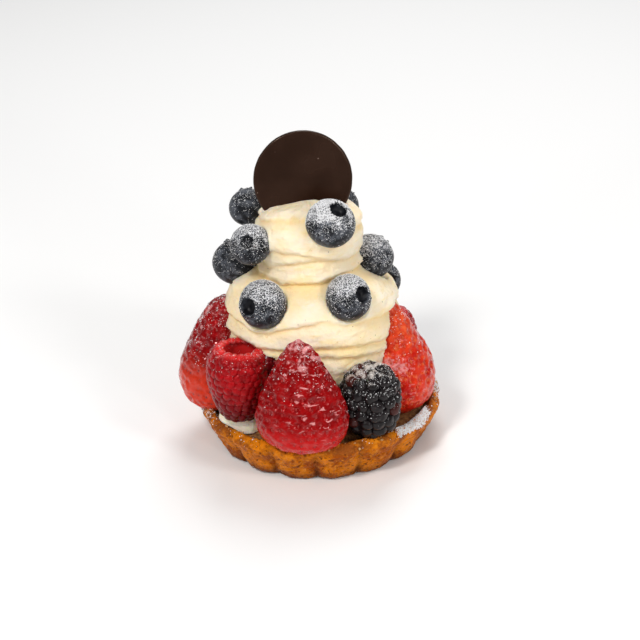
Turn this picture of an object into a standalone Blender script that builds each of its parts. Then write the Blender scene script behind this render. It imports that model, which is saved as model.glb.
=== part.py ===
"""An individual berry tart: a fluted shortcrust shell filled with baked almond cream, with a tall
piped cone of pastry cream on it. Halved strawberries, raspberries and brambles lean on the cone in
a ring, blueberries are pressed into it, and a chocolate disc stands in its top.

Metres, +Z up. The origin is the centre of the crust's underside. An azimuth is measured round the
tart from its front, which faces -Y, and grows towards +X. Tables are in millimetres and degrees.
"""

import math

import bmesh
import bpy
from mathutils import Matrix, Vector

MM = 0.001

# What touches keeps this gap, so that no two solids overlap.
GAP = 0.3 * MM

# The crust, baked in a fluted tin of 80 mm: the radius and the height of its outline from the middle
# of its underside out and over the rim. The last two say where a margin moves each point.
CRUST_OUTSIDE = (
    (0.0, 0.0, 0, -1), (32.6, 0.0, 0, -1), (34.4, 0.9, 1, -1), (37.1, 6.5, 1, 0),
    (40.0, 12.0, 1, 0), (39.1, 13.5, 1, 1), (37.7, 14.8, 0, 1), (36.0, 13.5, -1, 1),
)  # fmt: skip
# The same from below the rim down to the middle of the floor.
CRUST_INSIDE = ((35.5, 10.8), (30.4, 4.0), (28.9, 3.0), (0.0, 3.0))
RIM_BOTTOM = 11.8 * MM
RIM_WAVE = 0.3 * MM

# The flutes. They fade out between two distances outside the wall's inner face, whose radius is
# given at the crust's underside and at the wall's top.
FLUTES = 16
STEPS_PER_FLUTE = 4
FIRST_VALLEY = -3.6
FLUTE_DEPTH = 2.0 * MM
RIM_FLUTE_SHARE = 0.5
FLUTED_FROM = 6.0 * MM
FLUTED_TO = 14.8 * MM
INNER_WALL_R = (26.9 * MM, 36.0 * MM)
INNER_WALL_TOP = 10.8 * MM
FADE = (0.4 * MM, 2.0 * MM)

# The almond cream baked inside the crust.
FILLING_OUTLINE = (
    (0.0, 3.3), (28.5, 3.3), (30.0, 4.3), (34.9, 10.6), (34.2, 12.0), (29.2, 12.8), (0.0, 12.8),
)  # fmt: skip
FILLING_TOP = 12.8 * MM
FILLING_DIP = 0.5 * MM
FILLING_STEPS = 32

# The piped cone of cream, which stands a little to the left of the tart's centre.
CONE_X = -1.4 * MM
CONE_STEPS = 36
CONE_OUTLINE = (
    (20.5, 13.1), (22.6, 15.2), (24.6, 20.0), (26.2, 28.0), (27.2, 36.0), (27.4, 43.0), (27.0, 49.0),
    (25.4, 53.2), (22.3, 56.0), (18.2, 58.0), (16.0, 60.5), (15.5, 65.0), (16.3, 70.0), (16.8, 74.0),
    (15.8, 77.5), (13.0, 80.2), (8.0, 81.7), (0.0, 82.4),
)  # fmt: skip

# The heights of the creases between the piped folds, at these azimuths.
CREASE_AZIMUTHS = (-120, -60, 0, 60, 120, 180)
CREASES = (
    (13.1, 13.1, 13.1, 13.1, 13.1, 13.1),
    (19, 19.5, 20.5, 21, 20.5, 20),
    (26, 26, 27.5, 28, 27, 26.5),
    (33.5, 32.5, 34, 33, 33, 34),
    (40.5, 40.5, 42.5, 38, 38.5, 40),
    (46.5, 45.5, 51, 47.5, 46, 47),
    (55, 53.5, 56.5, 53.5, 53, 54),
    (61, 60.5, 60.6, 60.5, 60, 60.5),
    (65.5, 64.5, 67.3, 67, 65, 66),
    (72, 75.5, 77.2, 75.5, 74, 73),
    (82.4, 82.4, 82.4, 82.4, 82.4, 82.4),
)
ROWS_PER_FOLD = 3
FOLD_BULGE = 0.26  # of a fold's height
MOST_BULGE = 1.9 * MM

# The foot of cream that spreads from the cone to the rim under the front raspberry.
FOOT_AZIMUTH = -60.0
FOOT_REACH = 29.4
FOOT_RADII = Vector((11.5, 7.4, 7.2)) * MM

# The chocolate disc, which leans back and turns a little to the right.
DISC_R = 15.6 * MM
DISC_THICKNESS = 2.0 * MM
DISC_CENTRE = Vector((-2.7, 1.9, 88.4)) * MM
DISC_LEAN = 11.0
DISC_TURN = 4.0

# Halved strawberries, tip up: name, azimuth, reach and height of the hulled end's middle, length,
# width, thickness outwards from the widest plane and inwards from it, lean towards the cone, and
# bluntness, from 1 (as outlined) down.
STRAWBERRIES = (
    ("strawberry_front", -9.4, 35.4, 13.2, 38.3, 29.8, 8.6, 6.0, 0.0, 1.0),
    ("strawberry_left", -92.0, 35.0, 12.4, 37.5, 30.0, 12.8, 7.0, 10.5, 0.7),
    ("strawberry_right", 74.5, 29.3, 12.6, 37.6, 28.0, 11.0, 6.5, 11.0, 0.9),
    ("strawberry_back", -156.5, 31.0, 14.0, 35.0, 28.0, 11.0, 6.5, 9.0, 0.9),
)
# A strawberry's half width along its length, from its hulled end (0) to its tip (1), as a share of
# the largest. The bluntness is its power.
STRAWBERRY_OUTLINE = (
    (0.0, 0.0), (0.0, 0.5), (0.04, 0.72), (0.1, 0.87), (0.18, 0.965), (0.29, 1.0), (0.42, 0.93),
    (0.57, 0.76), (0.72, 0.575), (0.85, 0.4), (0.94, 0.24), (1.0, 0.0),
)  # fmt: skip
STRAWBERRY_STEPS = 18
HULL_DISH = 1.2 * MM

# Raspberries and brambles: name, azimuth, reach and height of the middle, length, width, lean
# towards the cone, number of drupelets.
RASPBERRIES = (
    ("raspberry_front", -53.0, 32.4, 29.0, 26.6, 20.4, 4.0, 44),
    ("raspberry_back", 121.0, 28.6, 24.0, 21.6, 18.2, 8.0, 40),
)
TUCKED_RASPBERRIES = (("raspberry_tucked", -38.5, 25.6, 34.0, 12.0, 10.4, 0.0, 18),)
BRAMBLES = (
    ("dark_bramble_front", 28.7, 32.6, 25.6, 24.8, 20.2, 2.0, 46),
    ("dark_bramble_back", 159.0, 32.0, 25.8, 25.0, 20.2, 4.0, 46),
)
DRUPELET_RISE = 0.9 * MM
DRUPELET_EDGE = 0.55 * MM
# Their outlines from the low end up, as shares of the half width and of the half length. The last
# points of a raspberry's lie inside the hollow where its core was. Those of the tucked one are shut.
RASPBERRY_OUTLINE = (
    (0.0, -1.0), (0.38, -0.95), (0.57, -0.8), (0.75, -0.5), (0.91, -0.12), (0.99, 0.2), (1.0, 0.45),
    (0.97, 0.7), (0.91, 0.88), (0.82, 0.95), (0.72, 0.88), (0.62, 0.55), (0.0, 0.4),
)  # fmt: skip
HOLLOW_POINTS = 3
BRAMBLE_OUTLINE = (
    (0.0, -1.0), (0.42, -0.95), (0.68, -0.8), (0.88, -0.5), (0.98, -0.15), (1.0, 0.15), (0.93, 0.5),
    (0.76, 0.78), (0.45, 0.95), (0.0, 1.0),
)  # fmt: skip
# The room that the cream leaves for such a berry: cells of its ball, and size against the berry's.
ROOM_CELLS = 40
ROOM_SHARE = 1.1

# Blueberries: azimuth, reach and height of the middle, measured from the cone's axis, diameter, then
# the azimuth and the elevation that the crown faces.
BLUEBERRIES = (
    (22.8, 17.3, 81.0, 15.4, 40, 56),
    (-61.7, 20.9, 72.2, 12.8, -11, 31),
    (-112.4, 20.6, 77.2, 12.6, -170, 35),
    (144.6, 17.8, 73.7, 12.2, 150, 40),
    (98.9, 19.6, 60.4, 15.0, 150, 20),
    (122.8, 28.0, 46.0, 12.2, 21, 25),
    (-101.4, 24.4, 59.6, 15.4, -170, 35),
    (-37.2, 25.2, 56.3, 15.4, -41, 15),
    (29.5, 23.2, 57.6, 14.6, 46, 26),
    (-160.0, 19.6, 66.0, 14.0, -160, 30),
    (-139.0, 28.0, 50.5, 14.6, -110, 20),
    (166.0, 26.6, 53.0, 14.8, 170, 25),
)
BLUEBERRY_SEGMENTS = 10
BLUEBERRY_RINGS = 7
BLUEBERRY_FLATNESS = 0.92
# The crown, as shares of the radius: the pit's floor, then between its points and at them.
CROWN_PIT = 0.7
CROWN_RISE = (0.92, 1.04)
CROWN_REACH = (0.33, 0.42)
CROWN_POINTS = 5


def clear_scene():
    for obj in list(bpy.data.objects):
        bpy.data.objects.remove(obj)


def new_collection(name):
    collection = bpy.data.collections.new(name)
    bpy.context.scene.collection.children.link(collection)
    return collection


def principled(name, colour, roughness):
    material = bpy.data.materials.new(name)
    material.use_nodes = True
    shader = material.node_tree.nodes["Principled BSDF"]
    shader.inputs["Base Color"].default_value = (*colour, 1.0)
    shader.inputs["Roughness"].default_value = roughness
    shader.inputs["Metallic"].default_value = 0.0
    return material


def add_object(name, bm, collection, material=None):
    """Turns the bmesh into a smooth-shaded object and frees it."""
    bmesh.ops.recalc_face_normals(bm, faces=bm.faces)
    mesh = bpy.data.meshes.new(name)
    bm.to_mesh(mesh)
    bm.free()
    mesh.shade_smooth()
    mesh.set_sharp_from_angle(angle=math.radians(50))
    if material:
        mesh.materials.append(material)
    obj = bpy.data.objects.new(name, mesh)
    collection.objects.link(obj)
    return obj


def turned(profile, steps, azimuth=0.0):
    """A bmesh of the (radius, height) profile, which runs from axis to axis, turned about Z. One of
    its columns lies at the azimuth."""
    mesh = bpy.data.meshes.new("profile")
    points = [(radius, 0, height) for radius, height in profile]
    mesh.from_pydata(points, [(i, i + 1) for i in range(len(points) - 1)], [])
    obj = bpy.data.objects.new("profile", mesh)
    bpy.context.scene.collection.objects.link(obj)
    screw = obj.modifiers.new("turn", "SCREW")
    screw.steps = screw.render_steps = steps
    screw.use_merge_vertices = True
    screw.merge_threshold = 0.01 * MM
    evaluated = obj.evaluated_get(bpy.context.evaluated_depsgraph_get())
    bm = bmesh.new()
    bm.from_mesh(evaluated.to_mesh())
    bpy.data.objects.remove(obj)
    bm.transform(Matrix.Rotation(math.radians(azimuth - 90), 4, "Z"))
    return bm


def azimuth_of(point):
    return math.degrees(math.atan2(point.x, -point.y))


def at_azimuth(azimuth, reach, height):
    """The point at an azimuth in degrees, with its reach from the axis and its height in mm."""
    angle = math.radians(azimuth)
    return Vector((reach * math.sin(angle), -reach * math.cos(angle), height)) * MM


def smooth_step(low, high, value):
    share = min(1.0, max(0.0, (value - low) / (high - low)))
    return share * share * (3 - 2 * share)


def between(low, high, share):
    return low + (high - low) * share


def flute(azimuth):
    """0 in the valley between two flutes and 1 on a flute's crest."""
    return abs(math.sin(math.radians(azimuth - FIRST_VALLEY) * FLUTES / 2)) ** 0.65


def in_metres(outline):
    return [(radius * MM, height * MM) for radius, height in outline]


def crust_outside(margin=0.0):
    """The crust's outside in metres, grown by the margin."""
    return [
        (radius * MM + margin * outwards, height * MM + margin * upwards)
        for radius, height, outwards, upwards in CRUST_OUTSIDE
    ]


def make_crust(collection, material):
    """The shell: a floor and a flared, fluted wall whose rim slopes outwards from a thin ridge."""
    profile = crust_outside() + in_metres(CRUST_INSIDE)
    bm = turned(profile, FLUTES * STEPS_PER_FLUTE, FIRST_VALLEY)
    for vert in bm.verts:
        radius, azimuth = vert.co.xy.length, azimuth_of(vert.co)
        inner_wall = between(*INNER_WALL_R, min(1.0, vert.co.z / INNER_WALL_TOP))
        fluted = smooth_step(inner_wall + FADE[0], inner_wall + FADE[1], radius)
        rim_share = smooth_step(FLUTED_FROM, FLUTED_TO, vert.co.z)
        depth = FLUTE_DEPTH * fluted * between(1.0, RIM_FLUTE_SHARE, rim_share)
        if depth > 0:
            vert.co.xy *= 1 - depth * (1 - flute(azimuth)) / radius
        if vert.co.z > RIM_BOTTOM:
            angle = math.radians(azimuth)
            vert.co.z += RIM_WAVE * (math.sin(3 * angle + 0.7) + 0.6 * math.sin(7 * angle))
    return add_object("crust", bm, collection, material)


def make_filling(collection, material):
    """Almond cream that fills the shell, uneven on top."""
    bm = turned(in_metres(FILLING_OUTLINE), FILLING_STEPS)
    for vert in bm.verts:
        radius = vert.co.xy.length
        if vert.co.z > FILLING_TOP - 1 * MM and radius > 1 * MM:
            wave = math.sin(5 * math.radians(azimuth_of(vert.co)) + radius / MM)
            vert.co.z -= FILLING_DIP * (0.5 + 0.5 * wave)
    return add_object("filling", bm, collection, material)


def cone_width(height):
    """The cone's mean radius at a height, from its outline."""
    for (low_r, low), (high_r, high) in zip(CONE_OUTLINE, CONE_OUTLINE[1:]):
        if height <= high * MM:
            return between(low_r, high_r, (height / MM - low) / (high - low)) * MM
    return 0.0


def creases_at(azimuth):
    """The heights of the creases at an azimuth, from the lowest up, in metres."""
    spacing = CREASE_AZIMUTHS[1] - CREASE_AZIMUTHS[0]
    place = (azimuth - CREASE_AZIMUTHS[0]) / spacing
    first = math.floor(place) % len(CREASE_AZIMUTHS)
    second = (first + 1) % len(CREASE_AZIMUTHS)
    share = smooth_step(0, 1, place % 1)
    return [between(row[first], row[second], share) * MM for row in CREASES]


def fold_rise(fold_height, share):
    """How far the cream stands proud of its mean surface: most in a fold's middle, least in a crease."""
    bulge = min(MOST_BULGE, FOLD_BULGE * fold_height)
    return bulge * (math.sqrt(max(0.0, 1 - (2 * share - 1) ** 2)) - 0.55)


def make_cone(collection, material):
    """The piped cone. Its rows follow the creases, and the surface swells into folds between them."""
    last_row = ROWS_PER_FOLD * (len(CREASES) - 1)
    top = CONE_OUTLINE[-1][1] * MM
    rows = [(CONE_OUTLINE[0][0] * MM, row * MM) for row in range(last_row)]
    bm = turned([(0, 0), *rows, (0, last_row * MM)], CONE_STEPS)
    for vert in bm.verts:
        radius = vert.co.xy.length
        fold, row = divmod(round(vert.co.z / MM), ROWS_PER_FOLD)
        if radius < 1 * MM:
            vert.co.z = top if fold else CONE_OUTLINE[0][1] * MM
            continue
        low, high = creases_at(azimuth_of(vert.co))[fold : fold + 2]
        share = row / ROWS_PER_FOLD
        vert.co.z = between(low, high, share)
        rise = fold_rise(high - low, share) if fold or row else 0.0
        vert.co.xy *= (cone_width(vert.co.z) + rise) / radius
    bmesh.ops.translate(bm, vec=(CONE_X, 0, 0), verts=bm.verts)
    return add_object("cream", bm, collection, material)


def make_foot(collection):
    """The low mound of cream that spreads from the cone to the rim."""
    bm = bmesh.new()
    bmesh.ops.create_uvsphere(bm, u_segments=20, v_segments=12, radius=1)
    bmesh.ops.scale(bm, vec=FOOT_RADII, verts=bm.verts)
    obj = add_object("foot", bm, collection)
    obj.location = at_azimuth(FOOT_AZIMUTH, FOOT_REACH, FILLING_TOP / MM)
    obj.rotation_euler.z = math.radians(FOOT_AZIMUTH)
    return obj


def place(obj, azimuth, reach, height, lean):
    """Stands the object on the ring with its -Y side facing out, leaning inwards."""
    obj.location = at_azimuth(azimuth, reach, height)
    obj.rotation_euler = (math.radians(-lean), 0, math.radians(azimuth))


def make_strawberry(name, length, width, outward, inward, bluntness, collection, material):
    """Half a strawberry on its hulled end. Its cut side faces +Y."""
    profile = [(share**bluntness * width / 2, along * length) for along, share in STRAWBERRY_OUTLINE]
    bm = turned(profile, STRAWBERRY_STEPS)
    for vert in bm.verts:
        if vert.co.z < 0.01 * MM:
            vert.co.z = HULL_DISH * (1 - min(1.0, vert.co.xy.length / (0.25 * width)))
        share = vert.co.y / (width / 2)
        vert.co.y = min(share * inward, 0.8 * inward) if share > 0 else share * outward
    return add_object(name, bm, collection, material)


def make_strawberries(collection, material):
    made = []
    for name, azimuth, reach, height, *sizes, lean, bluntness in STRAWBERRIES:
        sizes = (size * MM for size in sizes)
        obj = make_strawberry(name, *sizes, bluntness, collection, material)
        place(obj, azimuth, reach, height, lean)
        made.append(obj)
    return made


def even_directions(count):
    """Directions spread evenly over a sphere, along one spiral from its bottom to its top."""
    turn = math.pi * (3 - math.sqrt(5))
    for index in range(count):
        height = -1 + (2 * index + 1) / count
        ring = math.sqrt(1 - height * height)
        yield Vector((ring * math.cos(index * turn), ring * math.sin(index * turn), height))


def cell_ball(count):
    """A ball of about the count of five- and six-sided cells, each round one of the directions."""
    bm = bmesh.new()
    for direction in even_directions(count):
        bm.verts.new(direction)
    bmesh.ops.convex_hull(bm, input=bm.verts)
    middles, edges = list(bm.verts), list(bm.edges)
    bmesh.ops.poke(bm, faces=bm.faces)
    bmesh.ops.rotate_edges(bm, edges=edges)
    bmesh.ops.dissolve_verts(bm, verts=middles)
    for vert in bm.verts:
        vert.co.normalize()
    return bm


def along_outline(outline, share):
    """The point of the outline at a share of its length."""
    parts = [(Vector(start), Vector(end)) for start, end in zip(outline, outline[1:])]
    left = share * sum((end - start).length for start, end in parts)
    for start, end in parts:
        if left <= (end - start).length:
            return start.lerp(end, left / (end - start).length)
        left -= (end - start).length
    return parts[-1][1]


def berry_body(length, width, count, outline):
    """The form that a cluster berry's drupelets stand on."""
    bm = cell_ball(count)
    for vert in bm.verts:
        reach, height = along_outline(outline, math.acos(-vert.co.z) / math.pi)
        vert.co.xy *= reach * width / 2 / vert.co.xy.length
        vert.co.z = height * length / 2
    return bm


def make_cluster_berry(name, length, width, count, outline, collection, material):
    """A berry of raised drupelets."""
    bm = berry_body(length - 2 * DRUPELET_RISE, width - 2 * DRUPELET_RISE, count, outline)
    bm.normal_update()
    bmesh.ops.inset_individual(bm, faces=bm.faces, thickness=DRUPELET_EDGE, depth=DRUPELET_RISE)
    bmesh.ops.triangulate(bm, faces=bm.faces)
    return add_object(name, bm, collection, material)


def make_cluster_berries(berries, outline, full_outline, collection, rooms, material):
    """The berries, and a cutter of the full outline round each."""
    made = []
    for name, azimuth, reach, height, length, width, lean, count in berries:
        obj = make_cluster_berry(name, length * MM, width * MM, count, outline, collection, material)
        place(obj, azimuth, reach, height, lean)
        room_size = (length * ROOM_SHARE * MM, width * ROOM_SHARE * MM)
        room = berry_body(*room_size, ROOM_CELLS, full_outline)
        bmesh.ops.triangulate(room, faces=room.faces)
        place(add_object(f"{name}_room", room, rooms), azimuth, reach, height, lean)
        made.append(obj)
    return made


def make_blueberry(name, radius, collection, material):
    """A slightly flat ball. A five-pointed crown stands round a pit on its +Z end."""
    bm = bmesh.new()
    bmesh.ops.create_uvsphere(bm, u_segments=BLUEBERRY_SEGMENTS, v_segments=BLUEBERRY_RINGS, radius=1)
    for vert in bm.verts:
        if vert.co.z > 0.99:
            vert.co.z = CROWN_PIT
        elif vert.co.z > 0.9:
            point = 0.5 + 0.5 * math.cos(math.radians(CROWN_POINTS * azimuth_of(vert.co)))
            vert.co.z = between(*CROWN_RISE, point)
            vert.co.xy *= between(*CROWN_REACH, point) / vert.co.xy.length
        vert.co.z *= BLUEBERRY_FLATNESS
    bmesh.ops.scale(bm, vec=(radius, radius, radius), verts=bm.verts)
    return add_object(name, bm, collection, material)


def make_blueberries(collection, material):
    made = []
    for number, berry in enumerate(BLUEBERRIES, 1):
        azimuth, reach, height, diameter, crown_azimuth, crown_rise = berry
        obj = make_blueberry(f"blueberry_{number:02d}", diameter / 2 * MM, collection, material)
        obj.location = at_azimuth(azimuth, reach, height)
        obj.location.x += CONE_X
        rise = math.radians(crown_rise)
        crown = at_azimuth(crown_azimuth, math.cos(rise), math.sin(rise))
        obj.rotation_euler = crown.to_track_quat("Z", "Y").to_euler()
        made.append(obj)
    return made


def make_disc(collection, material):
    bm = bmesh.new()
    bmesh.ops.create_cone(
        bm, cap_ends=True, segments=32, radius1=DISC_R, radius2=DISC_R, depth=DISC_THICKNESS
    )
    obj = add_object("chocolate_disc", bm, collection, material)
    obj.location = DISC_CENTRE
    obj.rotation_euler = (math.radians(90 - DISC_LEAN), 0, math.radians(DISC_TURN))
    edge = obj.modifiers.new("soft_edge", "BEVEL")
    edge.width = 0.4 * MM
    return obj


def make_room(obj, collection):
    """A cutter that leaves the gap round the object: its convex hull, grown."""
    bm = bmesh.new()
    bm.from_mesh(obj.data)
    hull = bmesh.ops.convex_hull(bm, input=bm.verts)
    outer = set(item for item in hull["geom"] if isinstance(item, bmesh.types.BMFace))
    bmesh.ops.delete(bm, geom=[face for face in bm.faces if face not in outer], context="FACES")
    bm.normal_update()
    for vert in bm.verts:
        vert.co += vert.normal * GAP * 1.2
    room = add_object(f"{obj.name}_room", bm, collection)
    room.matrix_world = obj.matrix_basis
    return room


def make_shell_room(collection):
    """A cutter that leaves room for the crust with its filling."""
    margin = GAP + 2 * RIM_WAVE
    top = FILLING_TOP + GAP
    outside = crust_outside(margin)
    profile = [*outside, (outside[-1][0] + GAP, top), (0, top)]
    add_object("shell_room", turned(profile, FILLING_STEPS), collection)


def as_cutters(collection):
    for obj in collection.objects:
        obj.hide_render = True
        obj.display_type = "WIRE"


def combine(obj, operation, others):
    modifier = obj.modifiers.new(operation.lower(), "BOOLEAN")
    modifier.operation = operation
    modifier.operand_type = "COLLECTION"
    modifier.collection = others
    modifier.solver = "EXACT"


def main():
    clear_scene()
    tart = new_collection("berry_tart")
    added_cream = new_collection("added_cream")
    rooms = new_collection("rooms")
    shell_rooms = new_collection("shell_rooms")
    front_room = new_collection("front_room")
    pastry = principled("pastry", (0.62, 0.3, 0.09), 0.7)
    almond = principled("almond_cream", (0.4, 0.2, 0.08), 0.6)
    custard = principled("pastry_cream", (0.93, 0.8, 0.52), 0.45)
    red = principled("strawberry", (0.62, 0.02, 0.02), 0.2)
    crimson = principled("raspberry", (0.5, 0.02, 0.04), 0.35)
    black = principled("bramble", (0.02, 0.015, 0.025), 0.2)
    blue = principled("blueberry", (0.05, 0.07, 0.12), 0.5)
    chocolate = principled("chocolate", (0.05, 0.022, 0.014), 0.4)

    strawberries = make_strawberries(tart, red)
    blueberries = make_blueberries(tart, blue)
    disc = make_disc(tart, chocolate)
    for obj in (*strawberries, *blueberries, disc):
        make_room(obj, rooms)
    full_raspberry = (*RASPBERRY_OUTLINE[:-HOLLOW_POINTS], (0.0, 1.0))
    raspberries = make_cluster_berries(
        RASPBERRIES, RASPBERRY_OUTLINE, full_raspberry, tart, rooms, crimson
    )
    raspberries += make_cluster_berries(
        TUCKED_RASPBERRIES, full_raspberry, full_raspberry, tart, rooms, crimson
    )
    brambles = make_cluster_berries(BRAMBLES, BRAMBLE_OUTLINE, BRAMBLE_OUTLINE, tart, rooms, black)

    make_crust(tart, pastry)
    make_filling(tart, almond)
    make_shell_room(shell_rooms)
    for obj in (*strawberries, *raspberries, *brambles):
        combine(obj, "DIFFERENCE", shell_rooms)
    front_room.objects.link(bpy.data.objects["raspberry_front_room"])
    for name in ("raspberry_tucked", "strawberry_left"):
        combine(bpy.data.objects[name], "DIFFERENCE", front_room)

    cream = make_cone(tart, custard)
    make_foot(added_cream)
    combine(cream, "UNION", added_cream)
    combine(cream, "DIFFERENCE", rooms)
    combine(cream, "DIFFERENCE", shell_rooms)
    for cutters in (added_cream, rooms, shell_rooms, front_room):
        as_cutters(cutters)


main()
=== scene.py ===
"""The looks of an individual berry tart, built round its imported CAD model.

Metres in Blender, but the tables and the mesh code are in millimetres: piece() turns them into
metres. An azimuth is measured round the tart from its front, which faces -Y, and grows towards +X.
"""

import math
from collections import namedtuple

import bpy
import numpy as np
from mathutils import Matrix, Vector, noise
from mathutils.bvhtree import BVHTree
from mathutils.kdtree import KDTree


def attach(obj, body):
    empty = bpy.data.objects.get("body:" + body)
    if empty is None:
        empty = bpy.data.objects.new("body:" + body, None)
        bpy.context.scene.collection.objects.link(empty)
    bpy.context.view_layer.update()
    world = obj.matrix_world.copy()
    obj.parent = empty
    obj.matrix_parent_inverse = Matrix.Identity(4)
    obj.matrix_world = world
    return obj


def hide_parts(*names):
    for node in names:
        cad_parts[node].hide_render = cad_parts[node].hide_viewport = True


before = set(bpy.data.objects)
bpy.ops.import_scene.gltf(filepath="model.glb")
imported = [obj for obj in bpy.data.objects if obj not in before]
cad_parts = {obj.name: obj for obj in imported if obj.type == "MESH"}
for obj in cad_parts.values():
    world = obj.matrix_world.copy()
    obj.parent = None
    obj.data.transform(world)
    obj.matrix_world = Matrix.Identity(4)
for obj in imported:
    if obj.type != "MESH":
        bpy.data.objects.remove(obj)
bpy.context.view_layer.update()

MM = 0.001
rng = np.random.default_rng(7)

# The crust, in mm: its outline from the middle of its underside out, over the rim and back inside.
CRUST_OUTLINE = (
    (0.0, 0.0), (32.8, 0.0), (34.2, 0.5), (35.2, 2.4), (37.2, 6.6), (39.2, 10.4), (39.9, 12.2),
    (39.2, 13.4), (37.9, 14.6), (37.2, 14.7), (36.2, 13.6), (35.5, 10.8), (30.4, 4.0), (28.9, 3.0),
    (0.0, 3.0),
)
CRUST_COLUMNS = 490
FLUTES = 16
FIRST_VALLEY = -3.6
FLUTE_DEPTH = 2.0
FILLING_OUTLINE = (
    (0.0, 3.3), (28.5, 3.3), (30.0, 4.3), (34.9, 10.6), (35.2, 12.0), (34.2, 12.5), (29.2, 12.8),
    (0.0, 12.8),
)
# Where the rim's thick patch of sugar starts and ends.
PATCH_AZIMUTHS = (37, 68)

# The cone of cream, in mm: the mean radius and height of its outline.
CONE_X = -1.4
CONE_OUTLINE = (
    (20.5, 13.1), (22.6, 15.2), (24.6, 20.0), (26.2, 28.0), (27.2, 36.0), (27.4, 43.0), (27.0, 49.0),
    (25.4, 53.2), (22.3, 56.0), (18.2, 58.0), (16.0, 60.5), (15.5, 65.0), (16.3, 70.0), (16.8, 74.0),
    (15.8, 77.5), (13.0, 80.2), (8.0, 81.7), (0.0, 82.4),
)
CONE_STEPS = 340
CONE_ROWS = 225
# The creases between the piped folds: (azimuth, height, depth) along each, all the way round.
CREASES = (
    ((-180, 20, 1.3), (-120, 19, 1.3), (-60, 19.5, 1.3), (0, 20.5, 1.3), (60, 21, 1.3), (120, 20.5, 1.3)),
    ((-180, 26.5, 1.5), (-120, 26, 1.5), (-60, 26, 1.2), (0, 27.5, 1.2), (60, 28, 1.2), (120, 27, 1.5)),
    ((-180, 34, 1.5), (-120, 33.5, 1.5), (-60, 32.5, 0.8), (0, 33.6, 0.3), (60, 33, 0.4), (120, 33, 1.5)),
    (
        (-180, 38, 0.5), (-120, 37.2, 0.4), (-60, 37, 0.6), (-10, 39.4, 0.8), (8, 39.8, 1.1),
        (22, 38.6, 1.1), (40, 37, 1.1), (54, 36, 1.0), (80, 35.4, 0.7), (120, 36.5, 0.5),
    ),
    (
        (-180, 41.5, 1.4), (-120, 40.8, 1.4), (-37, 41.5, 1.3), (0, 43, 1.3), (6, 43, 1.3),
        (22, 42.4, 1.3), (37, 41.3, 1.2), (50, 40, 1.1), (120, 39, 1.4),
    ),
    (
        (-180, 47, 1.5), (-120, 46.5, 1.5), (-52, 47.2, 1.3), (-42, 46.3, 1.3), (-33, 46.9, 1.2),
        (-20, 49.1, 1.0), (-9, 50.3, 1.0), (6, 51.9, 0.9), (20, 50.1, 0.9), (42, 49.3, 1.0),
        (65, 47.5, 1.3), (120, 46, 1.5),
    ),
    ((-180, 54, 1.5), (-120, 54.5, 1.5), (-85, 55, 0.8), (-60, 55, 0), (60, 55, 0), (90, 54, 0.8),
     (120, 53.5, 1.5)),
    (
        (-180, 60.5, 1.5), (-120, 61, 1.5), (-51, 59.9, 1.6), (-34, 59.4, 1.7), (-12, 60, 1.8),
        (14, 60.3, 1.8), (28, 60.8, 1.6), (42, 61.2, 1.4), (120, 60, 1.5),
    ),
    (
        (-180, 66, 1.3), (-120, 65, 1.3), (-54, 63.8, 0.8), (-30, 66, 1.0), (-12, 67.5, 1.1),
        (11, 67.9, 1.1), (36, 66.6, 1.0), (65, 65.2, 1.0), (120, 65, 1.3),
    ),
    (
        (-80, 69, 0), (-62, 69.6, 0.4), (-50, 70, 0.7), (-35, 70.2, 0.9), (-11, 70.4, 0.9),
        (11, 68.9, 0.6), (30, 67.2, 0.2), (40, 66.5, 0), (180, 69, 0),
    ),
    (
        (-180, 73, 1.2), (-120, 75.5, 1.2), (-63, 78, 1.2), (-48, 79.2, 1.3), (-26, 80, 1.3),
        (-6, 80.2, 1.2), (12, 79.3, 1.2), (40, 77.5, 1.2), (60, 75.5, 1.2), (120, 74, 1.2),
    ),
)

# The cream's fit to the fruit: how far behind it lies, the lip round it, and the steepest spike left.
SEAT_GAP = 0.15
LIP_HEIGHT = 0.4
LIP_WIDTH = 0.8
SPIKE_SLOPE = 0.15

# The foot of cream under the front raspberry, with the reach and height of its middle.
FOOT_AZIMUTH = -60.0
FOOT_PLACE = (29.4, 12.9)
FOOT_HALF_WIDTH = 11.4
FOOT_HALF_DEPTH = 7.2
FOOT_RISE = 7.0
FOOT_SAG = 1.4

# The chocolate disc, which leans back by DISC_LEAN degrees and is turned towards +X by DISC_TURN.
DISC_R = 15.6
DISC_THICKNESS = 2.0
DISC_CENTRE = (-2.7, 1.9, 88.4)
DISC_LEAN = 11.0
DISC_TURN = 4.0

# Halved strawberries, tip up: place, azimuth, reach and height of the hulled end's middle, length,
# width, thickness outwards from the widest plane and inwards from it, lean towards the cone, and
# bluntness, from 1 (as outlined) down.
STRAWBERRIES = (
    ("front", -9.4, 35.4, 13.2, 38.3, 29.8, 8.6, 6.0, 0.0, 1.0),
    ("left", -92.0, 35.0, 12.4, 37.5, 30.0, 12.8, 7.0, 10.5, 0.7),
    ("right", 74.5, 29.3, 12.6, 37.6, 28.0, 11.0, 6.5, 11.0, 0.9),
    ("back", -156.5, 31.0, 14.0, 35.0, 28.0, 11.0, 6.5, 9.0, 0.9),
)
STRAWBERRY_OUTLINE = (
    (0.0, 0.0), (0.0, 0.5), (0.04, 0.72), (0.1, 0.87), (0.18, 0.965), (0.29, 1.0), (0.42, 0.93),
    (0.57, 0.76), (0.72, 0.575), (0.85, 0.4), (0.94, 0.24), (1.0, 0.0),
)
STRAWBERRY_COLUMNS = 150
SEED_ROW = 2.7
SEED_SPACING = 3.1
PIT_RADIUS = 0.85

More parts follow.
